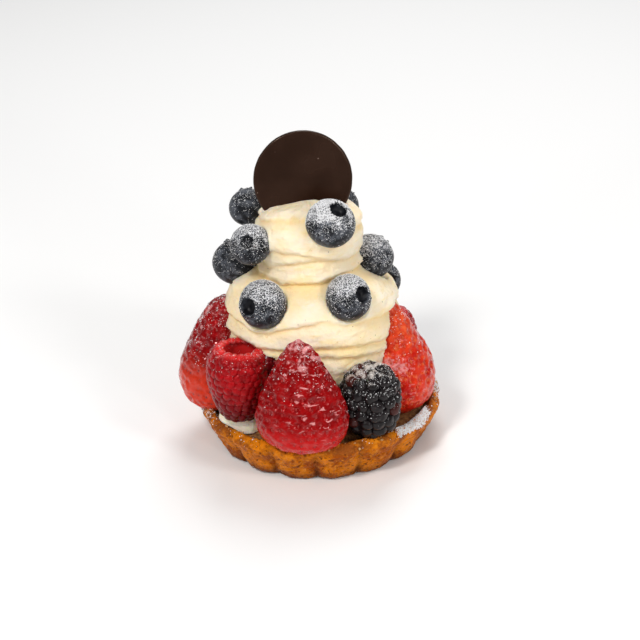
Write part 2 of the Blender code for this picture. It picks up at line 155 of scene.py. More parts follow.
# Raspberries and brambles: name, azimuth, reach and height of the middle, length, width, lean.
RASPBERRIES = (
    ("raspberry_front", -51.6, 32.4, 29.0, 26.6, 21.4, 4.0),
    ("raspberry_tucked", -38.5, 25.6, 34.0, 12.0, 10.4, 0.0),
    ("raspberry_back", 121.0, 28.6, 24.0, 21.6, 18.2, 8.0),
)
BRAMBLES = (
    ("dark_bramble_front", 28.7, 32.6, 25.6, 24.8, 20.2, 2.0),
    ("dark_bramble_back", 159.0, 32.0, 25.8, 25.0, 20.2, 4.0),
)

# What sets the two kinds apart: the outline from the low end up, as shares of the half width and half
# length, a hollow or none, the drupelets' spacing, their size as a share of it, their thickness, rings
# and columns, and the sugar: how frosted the top is and from where, how many grains and how far down.
Kind = namedtuple(
    "Kind", "slot outline hollow spacing size squash rings columns frost frost_from grains dusted_depth"
)
RASPBERRY_OUTLINE = (
    (0.0, -1.0), (0.38, -0.95), (0.57, -0.8), (0.75, -0.5), (0.91, -0.12), (0.99, 0.2), (1.0, 0.45),
    (0.96, 0.66), (0.87, 0.83), (0.76, 0.93), (0.68, 0.95),
)
BRAMBLE_OUTLINE = (
    (0.0, -1.0), (0.42, -0.95), (0.68, -0.80), (0.88, -0.50), (0.98, -0.15), (1.0, 0.15), (0.93, 0.5),
    (0.76, 0.78), (0.45, 0.95), (0.0, 1.0),
)
RASPBERRY = Kind("raspberry", RASPBERRY_OUTLINE, True, 2.6, 0.69, 0.60, 8, 12, 0.62, 0.1, 550, 12)
BRAMBLE = Kind("bramble", BRAMBLE_OUTLINE, False, 3.9, 0.60, 0.85, 9, 14, 0.8, 0.3, 2400, 20)
CORE_INSET = 0.42
HOLLOW_DEPTH = 0.42
RUDDY_FROM = 0.86

# Blueberries: azimuth, reach and height from the cone's axis, diameter, the azimuth and elevation
# of the crown, and how heavily each is dusted with sugar.
BLUEBERRIES = (
    (22.8, 17.3, 81.0, 15.4, 40, 56, 1.08),
    (-61.7, 20.9, 72.2, 12.8, -11, 31, 0.95),
    (-112.4, 20.6, 77.2, 12.6, -170, 35, 0.35),
    (144.6, 17.8, 73.7, 12.2, 150, 40, 0.4),
    (98.9, 19.6, 60.4, 15.0, 150, 20, 0.9),
    (122.8, 28.0, 46.0, 12.2, 21, 25, 0.5),
    (-101.4, 24.4, 59.6, 15.4, -170, 35, 0.35),
    (-37.2, 25.2, 56.3, 15.4, -41, 15, 0.92),
    (29.5, 23.2, 57.6, 14.6, 46, 26, 0.98),
    (-160.0, 19.6, 66.0, 14.0, -160, 30, 0.6),
    (-139.0, 28.0, 50.5, 14.6, -110, 20, 0.6),
    (166.0, 26.6, 53.0, 14.8, 170, 25, 0.6),
)
BLUEBERRY_COLUMNS = 56


# Small helpers


def ramp(low, high, value):
    """0 up to low and 1 from high on, or the other way round where low is the greater."""
    share = np.clip((value - low) / (high - low), 0, 1)
    return share * share * (3 - 2 * share)


def hump(value, middle, width):
    """1 at the middle, falling off smoothly to both sides."""
    return np.exp(-(((value - middle) / width) ** 2))


def stacked(x, y, z):
    """Points from their coordinates, which are arrays or numbers."""
    return np.stack(np.broadcast_arrays(x, y, z), -1)


def at_azimuth(azimuth, reach, height):
    """Points in mm at azimuths in degrees, from arrays or numbers."""
    angle = np.radians(azimuth)
    return stacked(reach * np.sin(angle), -reach * np.cos(angle), height)


def ring_angles(columns):
    return np.arange(columns) * 2 * np.pi / columns


def azimuth_of(points):
    return np.degrees(np.arctan2(points[..., 0], -points[..., 1]))


def turned_to(points, azimuth, lean, place):
    """Local points whose -Y side faces out, leant inwards, turned to the azimuth and moved."""
    turn = Matrix.Rotation(math.radians(azimuth), 3, "Z") @ Matrix.Rotation(math.radians(-lean), 3, "X")
    return points @ np.array(turn).T + np.asarray(place)


def wobble(points, size, seed=0.0, octaves=3):
    """Fractal noise from about -1 to 1 at the points, with features of about the size in mm."""
    scaled = (points.reshape(-1, 3) / np.asarray(size) + seed).tolist()
    values = [noise.fractal(point, 0.9, 2.1, octaves) for point in scaled]
    return np.array(values).reshape(points.shape[:-1])


def rough(points, *layers):
    """A sum of wobbles, each given as its amount, size and seed."""
    return sum(amount * wobble(points, size, seed) for amount, size, seed in layers)


def resampled(outline, step, smoothing=2):
    """The outline as evenly spaced points, its corners rounded."""
    points = np.array(outline, float)
    along = np.r_[0, np.cumsum(np.hypot(*np.diff(points, axis=0).T))]
    even = np.linspace(0, along[-1], max(4, round(along[-1] / step)))
    points = np.stack([np.interp(even, along, points[:, i]) for i in (0, 1)], -1)
    for _ in range(smoothing):
        points[1:-1] = (points[:-2] + 2 * points[1:-1] + points[2:]) / 4
    return points


def ring_faces(rows, columns):
    """Triangles of a grid of vertices whose columns close into rings, facing out when rows go up."""
    row, column = np.meshgrid(np.arange(rows - 1), np.arange(columns), indexing="ij")
    here = row * columns + column
    beside = row * columns + (column + 1) % columns
    lower = np.stack([here, beside, beside + columns], -1)
    upper = np.stack([here, beside + columns, here + columns], -1)
    return np.concatenate([lower, upper]).reshape(-1, 3)


def closed_form(grid):
    """Vertices and triangles of rings of points, rows from bottom to top, closed at both ends."""
    rows, columns = grid.shape[:2]
    points = np.concatenate([grid.reshape(-1, 3), [grid[0].mean(0)], [grid[-1].mean(0)]])
    faces = ring_faces(rows, columns)
    column = np.arange(columns)
    beside = (column + 1) % columns
    low = np.stack([np.full(columns, rows * columns), beside, column], -1)
    last = (rows - 1) * columns
    high = np.stack([np.full(columns, rows * columns + 1), last + column, last + beside], -1)
    return points, np.concatenate([faces, low, high])


def joined(forms):
    """One (points, triangles) of several, and which form each point came from."""
    firsts = np.cumsum([0, *[len(points) for points, _ in forms]])
    points = np.concatenate([points for points, _ in forms])
    faces = np.concatenate([faces + first for (_, faces), first in zip(forms, firsts)])
    source = np.repeat(np.arange(len(forms)), [len(points) for points, _ in forms])
    return points, faces, source


def piece(name, form, material, nodes=(), masks=None, smooth=True):
    """Adds a piece of the tart from points in mm and triangles. Masks become point attributes."""
    points, faces = form
    mesh = bpy.data.meshes.new(name)
    mesh.vertices.add(len(points))
    mesh.vertices.foreach_set("co", (np.asarray(points) * MM).astype(np.float32).ravel())
    mesh.loops.add(faces.size)
    mesh.loops.foreach_set("vertex_index", faces.astype(np.int32).ravel())
    mesh.polygons.add(len(faces))
    mesh.polygons.foreach_set("loop_start", np.arange(0, faces.size, 3, dtype=np.int32))
    mesh.update(calc_edges=True)
    mesh.validate()
    if smooth:
        mesh.shade_smooth()
    for mask, values in (masks or {}).items():
        attribute = mesh.attributes.new(mask, "FLOAT", "POINT")
        attribute.data.foreach_set("value", np.asarray(values, np.float32).ravel())
    mesh.materials.append(material)
    obj = bpy.data.objects.new(name, mesh)
    bpy.context.scene.collection.objects.link(obj)
    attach(obj, "root")
    if nodes:
        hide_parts(*nodes)


# Materials


class Look:
    """One material and short calls for its nodes. Sizes are in mm."""

    def __init__(self, name, roughness, specular=0.5, tint=(1.0, 1.0, 1.0)):
        self.material = bpy.data.materials.new(name)
        self.material.use_nodes = True
        self.tree = self.material.node_tree
        self.shader = self.tree.nodes["Principled BSDF"]
        self.place = self.node("ShaderNodeTexCoord").outputs["Object"]
        self.set("Roughness", roughness)
        self.set("Specular IOR Level", specular)
        self.set("Specular Tint", tint)

    def feed(self, socket, value):
        if isinstance(value, bpy.types.NodeSocket):
            self.tree.links.new(value, socket)
        elif isinstance(value, tuple) and len(value) == 3 and socket.type == "RGBA":
            socket.default_value = (*value, 1.0)
        else:
            socket.default_value = value

    def set(self, name, value):
        self.feed(self.shader.inputs[name], value)

    def node(self, kind, **inputs):
        """Adds a node. Its inputs are named as in Blender, with _ for a space."""
        node = self.tree.nodes.new(kind)
        for name, value in inputs.items():
            self.feed(node.inputs[name.replace("_", " ")], value)
        return node

    def noise(self, size, detail=3.0, roughness=0.55, stretch=(1, 1, 1), twist=0.0):
        place = self.place
        if stretch != (1, 1, 1):
            place = self.node("ShaderNodeMapping", Vector=place, Scale=stretch).outputs["Vector"]
        node = self.node("ShaderNodeTexNoise", Vector=place, Scale=1000 / size, Detail=detail)
        self.feed(node.inputs["Roughness"], roughness)
        self.feed(node.inputs["Distortion"], twist)
        return node.outputs["Fac"]

    def cells(self, size):
        node = self.node("ShaderNodeTexVoronoi", Vector=self.place, Scale=1000 / size)
        return node.outputs["Distance"]

    def mask(self, name):
        node = self.node("ShaderNodeAttribute")
        node.attribute_name = name
        return node.outputs["Fac"]

    def step(self, value, low, high):
        """0 below low, 1 above high. High may be the lower of the two."""
        node = self.node("ShaderNodeMapRange", Value=value, From_Min=low, From_Max=high)
        node.interpolation_type = "SMOOTHSTEP"
        return node.outputs["Result"]

    def math(self, operation, first, second):
        node = self.node("ShaderNodeMath")
        node.operation = operation
        self.feed(node.inputs[0], first)
        self.feed(node.inputs[1], second)
        return node.outputs[0]

    def times(self, first, second):
        return self.math("MULTIPLY", first, second)

    def dusting(self, grain, low, high):
        """Where sugar lies: the noise, lifted by the sugar mask, cut off from low to high."""
        return self.step(self.math("ADD", grain, self.mask("sugar")), low, high)

    def mix(self, share, first, second):
        node = self.node("ShaderNodeMix")
        node.data_type = "RGBA"
        self.feed(node.inputs["Factor"], share)
        self.feed(node.inputs[6], first)
        self.feed(node.inputs[7], second)
        return node.outputs[2]

    def paint(self, colour, *layers):
        """Lays colours on the first, each by its share there and, where one is given, a weight."""
        for share, over, *weight in layers:
            colour = self.mix(self.times(share, *weight) if weight else share, colour, over)
        self.set("Base Color", colour)

    def bump(self, height, distance, strength=1.0, under=None):
        node = self.node("ShaderNodeBump", Strength=strength, Distance=distance * MM, Height=height)
        if under is not None:
            self.feed(node.inputs["Normal"], under)
        self.set("Normal", node.outputs["Normal"])
        return node.outputs["Normal"]

    def soft(self, weight, radius, scale):
        self.set("Subsurface Weight", weight)
        self.set("Subsurface Radius", radius)
        self.set("Subsurface Scale", scale * MM)

    def coat(self, weight, roughness):
        self.set("Coat Weight", weight)
        self.set("Coat Roughness", roughness)


def pastry_look():
    look = Look("baked_pastry", 0.42, 0.16, (1.0, 0.5, 0.16))
    patches = look.noise(6.0, 4, 0.6)
    crumb = look.noise(1.2, 4, 0.65)
    pores = look.step(look.cells(2.6), 0.16, 0.05)
    look.paint(
        (0.33, 0.060, 0.001),
        (look.step(patches, 0.36, 0.62), (0.72, 0.21, 0.005)),
        (look.step(crumb, 0.55, 0.72), (0.74, 0.29, 0.035)),
        (look.step(crumb, 0.46, 0.34), (0.15, 0.032, 0.003)),
        (look.mask("rim"), (0.27, 0.075, 0.014), look.step(patches, 0.62, 0.40)),
        # Painted shade: darker in the flutes' valleys and towards the foot of the crust.
        (look.mask("recess_shade"), (0.085, 0.018, 0.002)),
        (pores, (0.10, 0.03, 0.005), 0.6),
        (look.dusting(look.noise(0.7, 3), 0.95, 1.12), (0.84, 0.78, 0.74), 0.8),
    )
    under = look.bump(crumb, 1.0, 0.9)
    look.bump(pores, -0.45, 0.8, under)
    return look.material


def almond_look():
    look = Look("almond_crumb", 0.7, 0.3)
    crumb = look.noise(1.4, 5, 0.7)
    look.paint(
        (0.14, 0.05, 0.014),
        (look.step(crumb, 0.35, 0.68), (0.42, 0.2, 0.07)),
        (look.step(look.cells(2.2), 0.26, 0.1), (0.06, 0.022, 0.008), 0.7),
        (look.dusting(look.noise(0.6, 3), 0.95, 1.12), (0.8, 0.7, 0.62)),
    )
    look.bump(crumb, 0.7, 0.9)
    return look.material


def cream_look():
    """Pale cream, with painted shade that makes it yellower in its creases, and streaks, flecks and
    vanilla seeds.
    """
    look = Look("pastry_cream", 0.5, 0.3, (1.0, 0.88, 0.72))
    streak = look.noise(1.6, 3, 0.6, (0.2, 0.2, 1.0))
    look.paint(
        (0.95, 0.755, 0.485),
        (look.step(look.noise(12.0, 3), 0.34, 0.62), (0.975, 0.84, 0.675)),
        # Painted shade: yellower and darker in the creases and just under the folds.
        (look.mask("crease_shade"), (0.90, 0.66, 0.27), 0.8),
        (look.step(streak, 0.54, 0.72), (0.92, 0.72, 0.38), 0.7),
        # Paler on the foot: partly a paler cream, partly painted light where the raspberry shades it.
        (look.mask("pale"), (0.985, 0.86, 0.68)),
        (look.step(look.noise(1.7, 2, 0.5), 0.70, 0.76), (0.66, 0.42, 0.12), 0.4),
        (look.step(look.cells(3.6), 0.06, 0.042), (0.12, 0.06, 0.02), 0.7),
    )
    look.soft(0.55, (1.0, 0.72, 0.4), 2.4)
    under = look.bump(streak, 0.35, 0.6)
    under = look.bump(look.noise(1.6, 4, 0.65), 0.5, 0.8, under)
    look.bump(look.noise(0.5, 3), 0.08, 0.5, under)
    return look.material


def chocolate_look():
    look = Look("dark_chocolate", 0.25, 0.25, (1.0, 0.75, 0.6))
    cloud = look.step(look.noise(11.0, 2), 0.3, 0.7)
    specks = look.step(look.cells(4.6), 0.05, 0.03)
    brown = (0.017, 0.0068, 0.0038)
    look.paint(brown, (cloud, (0.023, 0.0095, 0.0056)), (specks, (0.28, 0.2, 0.17), 0.6))
    look.set("Roughness", look.mix(cloud, (0.20,) * 3, (0.28,) * 3))
    look.bump(look.noise(3.0, 3), 0.05, 0.3)
    return look.material


def strawberry_look(name, deep, bright, pale, mottle):
    """Cloudy deep and bright red, pale where the mask says so, with small pinkish painted highlights
    under a glaze.
    """
    look = Look(name, 0.2, 0.3, (1.0, 0.14, 0.14))
    # Painted highlights: small pinkish spots where the wet glaze would glint.
    painted_glints = look.step(look.noise(2.6, 2, 0.5, (1, 1, 2.0), 0.5), 0.60, 0.70)
    look.paint(
        deep,
        (look.step(look.noise(5.0, 3), 0.32, 0.68), bright),
        (look.step(look.noise(1.5, 2), 0.52, 0.68), pale, mottle),
        (look.mask("pale"), pale),
        # Painted shade in the pits round the seeds.
        (look.mask("pit"), tuple(0.5 * share for share in deep), 0.2),
        (look.dusting(look.noise(0.9, 4, 0.7), 1.0, 1.25), (0.82, 0.40, 0.40), 0.6),
        (painted_glints, (0.84, 0.36, 0.36), look.mask("painted_highlight")),
    )
    look.soft(0.12, (1.0, 0.08, 0.05), 1.4)
    glaze = look.step(look.noise(2.4, 2, 0.5, twist=0.6), 0.50, 0.60)
    look.coat(look.times(glaze, 0.5), 0.09)
    look.set("Coat Normal", look.bump(look.noise(3.0, 1, 0.4, twist=0.8), 0.36, 0.9))
    return look.material


def raspberry_look():
    look = Look("raspberry_skin", 0.3, 0.4, (1.0, 0.16, 0.17))
    look.paint(
        (0.20, 0.0015, 0.003),
        (look.step(look.noise(2.2, 3), 0.3, 0.7), (0.37, 0.004, 0.007)),
        # Painted shade: darker towards the low end, and all over the tucked berry.
        (look.mask("low"), (0.075, 0.0008, 0.003)),
        (look.mask("inside"), (0.62, 0.022, 0.022)),
        # Painted shade on the core between the drupelets.
        (look.mask("gap"), (0.07, 0.0008, 0.002), 0.85),
        (look.dusting(look.noise(0.8, 4, 0.7), 1.0, 1.3), (0.86, 0.50, 0.50), 0.6),
    )
    look.soft(0.2, (1.0, 0.08, 0.06), 1.4)
    look.coat(0.05, 0.15)
    look.bump(look.noise(0.6, 3), 0.08, 0.6)
    return look.material


def bramble_look():
    look = Look("bramble_skin", 0.3, 0.04)
    look.paint(
        (0.005, 0.0035, 0.004),
        (look.step(look.noise(2.0, 3), 0.3, 0.7), (0.013, 0.009, 0.010)),
        (look.mask("ruddy"), (0.05, 0.009, 0.007)),
        (look.dusting(look.noise(0.45, 4, 0.7), 1.02, 1.25), (0.82, 0.75, 0.70), 0.62),
    )
    look.coat(0.4, 0.08)
    look.bump(look.noise(0.8, 2), 0.08, 0.4)
    return look.material


def blueberry_look():
    """Near black, with a pale bloom that is rubbed off in places, and rougher where it is left."""
    look = Look("blueberry_skin", 0.5, 0.16)
    rub = look.noise(1.3, 4, 0.7)
    bloom = look.times(look.step(look.noise(3.4, 4, 0.6), 0.40, 0.62), look.step(rub, 0.30, 0.60))
    look.paint(
        (0.008, 0.009, 0.012),
        (bloom, (0.095, 0.103, 0.122)),
        # Darker inside the crown's pit: partly its dried calyx, partly painted shade.
        (look.mask("crown"), (0.004, 0.004, 0.006)),
        (look.dusting(look.noise(0.42, 2, 0.6), 1.02, 1.14), (0.82, 0.82, 0.84), 0.8),
    )
    look.set("Roughness", look.mix(bloom, (0.34,) * 3, (0.62,) * 3))
    look.bump(rub, 0.10, 0.4)
    return look.material


def plain_look(name, colour, dark, roughness, size, soften=0.0):
    """For grains, seeds and crumbs, whose form is in their mesh."""
    look = Look(name, roughness)
    look.paint(dark, (look.step(look.noise(size, 2), 0.3, 0.7), colour))
    if soften:
        look.soft(soften, (1, 1, 1), 0.3)
    look.bump(look.noise(size / 4, 2), 0.02)
    return look.material


# Scattered grains


def triangle_normals(corners):
    """The triangles' normals, each as long as twice its triangle's area."""
    return np.cross(corners[:, 1] - corners[:, 0], corners[:, 2] - corners[:, 0])


def scattered(form, count, weight):
    """Random points and normals on the form, as likely on each triangle as area times weight."""
    points, faces = form
    corners = points[faces]
    across = triangle_normals(corners)
    area = np.linalg.norm(across, axis=1)
    normals = across / np.maximum(area, 1e-9)[:, None]
    share = area * np.maximum(0, weight(corners.mean(1), normals))
    if share.sum() <= 0:
        return np.zeros((0, 3)), np.zeros((0, 3))
    chosen = rng.choice(len(faces), count, p=share / share.sum())
    mixing = rng.dirichlet((1, 1, 1), count)
    return np.einsum("ij,ijk->ik", mixing, corners[chosen]), normals[chosen]


OCTAHEDRON = np.array([(1, 0, 0), (-1, 0, 0), (0, 1, 0), (0, -1, 0), (0, 0, 1), (0, 0, -1)], float)
OCTAHEDRON_FACES = np.array(
    [(0, 2, 4), (2, 1, 4), (1, 3, 4), (3, 0, 4), (2, 0, 5), (1, 2, 5), (3, 1, 5), (0, 3, 5)]
)


def grains(points, normals, low, high):
    """Irregular little crystals from low to high mm across, each half sunk where it lies."""
    count = len(points)
    size = low + (high - low) * rng.random(count) ** 2
    corners = OCTAHEDRON[None] * (0.35 + 0.3 * rng.random((count, 6, 1))) * size[:, None, None]
    spin = rng.normal(size=(count, 3, 3))
    spin, _ = np.linalg.qr(spin)
    spin *= np.sign(np.linalg.det(spin))[:, None, None]
    corners = np.einsum("nij,nkj->nki", spin, corners)
    corners += (points + normals * size[:, None] * 0.18)[:, None]
    faces = OCTAHEDRON_FACES[None] + 6 * np.arange(count)[:, None, None]
    return corners.reshape(-1, 3), faces.reshape(-1, 3)


# Crust and filling


def flute(azimuth):
    """0 in the valley between two flutes and 1 on a flute's crest."""
    return np.abs(np.sin(np.radians(azimuth - FIRST_VALLEY) * FLUTES / 2)) ** 0.65


def turned(outline, columns):
    """Rings of points of the outline turned about Z."""
    azimuth = np.arange(columns) * 360 / columns
    return at_azimuth(azimuth[None, :], outline[:, 0][:, None], outline[:, 1][:, None])


def sugar_patch(azimuth):
    """1 where the rim has its thick patch of sugar."""
    start, end = PATCH_AZIMUTHS
    return ramp(start, start + 4, azimuth) * (1 - ramp(end - 4, end, azimuth))


def make_crust(material):
    """The fluted shell: crumbly and dented outside, plain inside, where the filling hides it."""
    outline = resampled(CRUST_OUTLINE, 0.5)[1:-1]
    outline = outline[outline[:, 0] > 20]
    grid = turned(outline, CRUST_COLUMNS)
    radius = np.hypot(grid[..., 0], grid[..., 1])
    azimuth, height = azimuth_of(grid), grid[..., 2]
    inner = np.interp(height, (0, 10.8), (26.9, 36.0))
    fluted = ramp(inner + 0.4, inner + 2.0, radius)
    valley = (1 - flute(azimuth)) * fluted
    depth = FLUTE_DEPTH * (1 - 0.5 * ramp(6, 14.8, height))
    push = -depth * valley
    crumbly = rough(grid, (0.40, 5.0, 3), (0.32, 2.2, 9), (0.14, 1.1, 10))
    push += crumbly * fluted
    push -= 0.45 * ramp(0.3, 0.75, wobble(grid, 2.4, 21)) * ramp(0.1, 0.5, fluted)
    grid[..., :2] *= ((radius + push) / radius)[..., None]
    angle = np.radians(azimuth)
    rim = ramp(11.0, 13.5, height)
    grid[..., 2] += rim * (0.3 * np.sin(3 * angle + 0.7) + 0.18 * np.sin(7 * angle))
    grid[..., 2] += rim * rough(grid, (0.4, 4.0, 5), (0.3, 1.3, 7))
    form = closed_form(grid)

    # Painted shade, strongest in the flutes' valleys and low down on the crust.
    low = 1 - ramp(0.5, 7.0, height)
    recess_shade = ramp(0.35, 0.95, valley) * (0.35 + 0.65 * low) + 0.7 * low**2
    bevel = ramp(11.6, 12.8, height)
    patch = sugar_patch(azimuth) * (radius > 37.2)
    sides = 0.42 * hump(azimuth, -82, 14) + 0.45 * hump(azimuth, 92, 12)
    sugar = bevel * (0.50 * patch * (1 + 0.35 * wobble(grid, 2.5, 19)) + sides + 0.14)
    masks = {"recess_shade": np.clip(recess_shade, 0, 1) * 0.9, "rim": bevel * 0.8, "sugar": sugar}
    masks = {name: np.r_[values.ravel(), 0, 0] for name, values in masks.items()}
    piece("fluted_crust", form, material, ["crust"], masks)
    return form


def make_filling(material):
    """The almond cream, baked with an uneven top."""
    grid = turned(resampled(FILLING_OUTLINE, 0.9)[1:-1], 180)
    top = ramp(10.5, 12.3, grid[..., 2])
    grid[..., 2] += top * (rough(grid, (0.45, 5.0, 2), (0.28, 1.6, 4)) - 0.15)
    form = closed_form(grid)
    sugar = np.full(len(form[0]), 0.2)
    piece("baked_filling", form, material, ["filling"], {"sugar": sugar})


# Cream


def cone_width(height):
    """The cone's mean radius at the heights, its outline's corners rounded."""
    radii, heights = np.array(CONE_OUTLINE).T
    fine = np.linspace(heights[0], heights[-1], 400)
    width = np.interp(fine, heights, radii)
    for _ in range(40):
        width[1:-1] = (width[:-2] + 2 * width[1:-1] + width[2:]) / 4
    return np.interp(height, fine, width)


def creased(azimuth, height, radius, grid):
    """Presses the creases into the radii. Returns, from 0 to 1, how deep in the creases each point is,
    for the painted shade there.
    """
    drift = rough(grid, (0.35, 4.0, 11), (0.12, 1.3, 12))
    crease_shade = np.zeros_like(radius)
    for line in CREASES:
        places, heights, depths = np.array(line, float).T
        middle = np.interp(azimuth, places, heights, period=360)
        depth = np.interp(azimuth, places, depths, period=360) * (1 + 0.25 * wobble(grid[0], 6.0, 17))
        off = height - middle - drift
        valley = np.where(off > 0, np.exp(-np.abs(off / 0.9) ** 1.8), np.exp(-np.abs(off / 2.0) ** 1.4))
        radius -= 0.9 * depth * valley
        radius += 0.28 * depth * hump(off, 1.9, 1.3)
        # Painted shade along each line of the creases, fainter and wider just below it.
        crease_shade = np.maximum(crease_shade, depth / 1.5 * hump(off, 0, 0.9))
        crease_shade = np.maximum(crease_shade, 0.5 * depth / 1.5 * hump(off, -0.6, 2.4))
    return np.clip(crease_shade, 0, 1)


def make_cone(material, fruit):
    """The piped cone: soft creases between folds, a torn top, and dents where fruit sits."""
    azimuth = np.arange(CONE_STEPS) * 360 / CONE_STEPS - 180
    base, top = CONE_OUTLINE[0][1], CONE_OUTLINE[-1][1]
    rows = base + (top - base) * np.linspace(0, 1, CONE_ROWS) ** 0.9
    height = np.repeat(rows[:, None], CONE_STEPS, 1)
    radius = cone_width(height)
    grid = at_azimuth(azimuth[None], radius, height)
    radius += np.minimum(0.7, 0.04 * radius)
    radius += 4.2 * (hump(azimuth, -74, 17) * hump(height, 57.4, 3.2))
    crease_shade = creased(azimuth, height, radius, grid)
    radius += rough(grid, (0.40, 8.0, 1), (0.20, (6.0, 6.0, 1.6), 3))
    radius += rough(grid, (0.15, 1.8, 8), (0.06, 0.8, 9))
    radius -= 0.25 * ramp(0.5, 0.85, wobble(grid, 1.8, 33))
    torn = ramp(78.5, 80.5, height)
    height = height + torn * rough(grid, (0.5, 4.5, 40), (0.3, 1.6, 41))
    radius = np.maximum(radius, 0.4)
    seated(azimuth, radius, height, fruit)
    grid = at_azimuth(azimuth[None], radius, height)
    grid[..., 0] += CONE_X
    # The painted shade in and below the creases.
    masks = {"crease_shade": np.r_[crease_shade.ravel(), 0, 0]}
    piece("piped_cream", closed_form(grid), material, ["cream"], masks)


def seated(azimuth, radius, height, fruit):
    """Pulls the cream's radii back to just behind the fruit, with a lip of cream round it."""
    tree = BVHTree.FromPolygons(fruit[0].tolist(), fruit[1].tolist())
    rows, columns = radius.shape
    for column in range(columns):
        outwards = Vector(at_azimuth(azimuth[column], 1.0, 0.0))
        for row in range(rows):
            start = Vector((CONE_X, 0, height[row, column]))
            hit, _, _, distance = tree.ray_cast(start, outwards, radius[row, column] + 1.5)
            if hit is not None and distance < radius[row, column] + SEAT_GAP:
                radius[row, column] = distance - SEAT_GAP
            elif radius[row, column] > 3:
                at = start + outwards * radius[row, column]
                near, _, _, gap = tree.find_nearest(at, 2.0)
                if near is not None:
                    radius[row, column] += LIP_HEIGHT * math.exp(-((gap / LIP_WIDTH) ** 2))
    trim_spikes(radius)


def trim_spikes(radius):
    """Cuts back what stands out from the points two and four steps away all round."""
    for step in (2, 4):
        beside = np.maximum(np.roll(radius, step, 1), np.roll(radius, -step, 1))
        np.minimum(radius, beside + SPIKE_SLOPE * step, out=radius)
        above_below = np.maximum(radius[2 * step :], radius[: -2 * step])
        np.minimum(radius[step:-step], above_below + SPIKE_SLOPE * step, out=radius[step:-step])


def make_foot(material):
    """The dab of cream that spreads from the cone over the rim's inner edge."""
    around = ring_angles(120)
    up = np.linspace(-1.5, 1.55, 50)[:, None]
    edge = 1 + 0.09 * np.sin(3 * around + 0.6) + 0.06 * np.sin(5 * around + 2.0)
    ring = np.cos(up) ** 0.8 * edge[None]
    x, y = FOOT_HALF_WIDTH * ring * np.sin(around), -FOOT_HALF_DEPTH * ring * np.cos(around)
    z = np.where(up < 0, FOOT_SAG, FOOT_RISE) * np.sin(up)
    grid = turned_to(stacked(x, y, z), FOOT_AZIMUTH, 0.0, at_azimuth(FOOT_AZIMUTH, *FOOT_PLACE))
    grid[..., 2] += rough(grid, (0.4, 4.0, 14), (0.12, 1.2, 15))
    over_rim = ramp(34.5, 37.0, np.hypot(grid[..., 0], grid[..., 1]))
    grid[..., 2] = np.maximum(grid[..., 2], 12.6 + 1.7 * over_rim)
    form = closed_form(grid)
    # The foot is painted paler, partly as painted light against the raspberry's shadow, and has no
    # painted shade of creases.
    masks = {"crease_shade": np.zeros(len(form[0])), "pale": np.ones(len(form[0]))}
    piece("cream_foot", form, material, ["cream"], masks)


# Chocolate


def make_disc(material):
    """The disc, its edge slightly rounded and uneven, turned to stand in the cone's top."""
    half = DISC_THICKNESS / 2
    upper = ((DISC_R, 0.0), (DISC_R - 0.05, 0.75 * half), (DISC_R - 0.4, half), (0.0, half))
    lower = [(radius, -height) for radius, height in upper[:0:-1]]
    grid = turned(resampled([*lower, *upper], 0.3, 1)[1:-1], 120)
    grid[..., 2] += 0.05 * wobble(grid, 6.0, 40, 2)
    radius = np.hypot(grid[..., 0], grid[..., 1])
    shift = 1 + 0.004 * wobble(grid, 3.0, 41, 2) * ramp(14, 15.5, radius)
    grid[..., :2] *= shift[..., None]
    upright = Matrix.Rotation(math.radians(90 - DISC_LEAN), 3, "X")
    turn = Matrix.Rotation(math.radians(DISC_TURN), 3, "Z") @ upright
    grid = grid @ np.array(turn).T + np.array(DISC_CENTRE)
    piece("dark_disc", closed_form(grid), material, ["chocolate_disc"])


# Blueberries


def blueberry_form(radius, crown, seed):
    """A slightly flat, slightly uneven ball with a five-pointed crown round a pit on its crown end."""
    around = ring_angles(BLUEBERRY_COLUMNS)
    polar = np.linspace(np.pi - 0.03, 0.50, 36)
    body = np.stack([np.sin(polar), 0.92 * np.cos(polar)], -1)
    rim = ((0.455, 0.85), (0.435, 0.88), (0.415, 0.91), (0.385, 0.915), (0.36, 0.88), (0.335, 0.80))
    pit = ((0.30, 0.70), (0.22, 0.62), (0.13, 0.60), (0.06, 0.62), (0.02, 0.63))
    profile = np.concatenate([body, rim, pit])
    rise = np.concatenate([np.zeros(len(body)), (0.1, 0.35, 1.0, 1.0, 0.45, 0.1), np.zeros(len(pit))])
    star = 0.5 + 0.5 * np.cos(5 * (around + 0.35 * np.sin(around + seed)) + seed)
    star += 0.25 * np.sin(11 * around + 2 * seed)
    reach = profile[:, :1] * (1 + 0.24 * rise[:, None] * (star - 0.5))
    z = profile[:, 1:] + 0.065 * rise[:, None] * (star - 0.5)
    grid = stacked(reach * np.sin(around), -reach * np.cos(around), z) * radius
    lump = 1 + 0.018 * wobble(grid, 6.0, seed * 3, 2) + 0.004 * wobble(grid, 1.4, seed * 5, 2)
    grid *= lump[..., None]
    points, faces = closed_form(grid)
    turn = np.array(Vector(crown).to_track_quat("Z", "Y").to_matrix())
    # Darker towards the inside of the crown's pit: partly its dried calyx, partly painted shade.
    dark = np.concatenate([np.zeros(len(body) - 1), (0, 0, 0, 0, 0, 0.1, 0.5, 0.8, 0.9, 0.9, 0.85, 0.85)])
    mask = np.r_[np.repeat(dark, BLUEBERRY_COLUMNS), 0, 1]
    return points @ turn.T, faces, mask


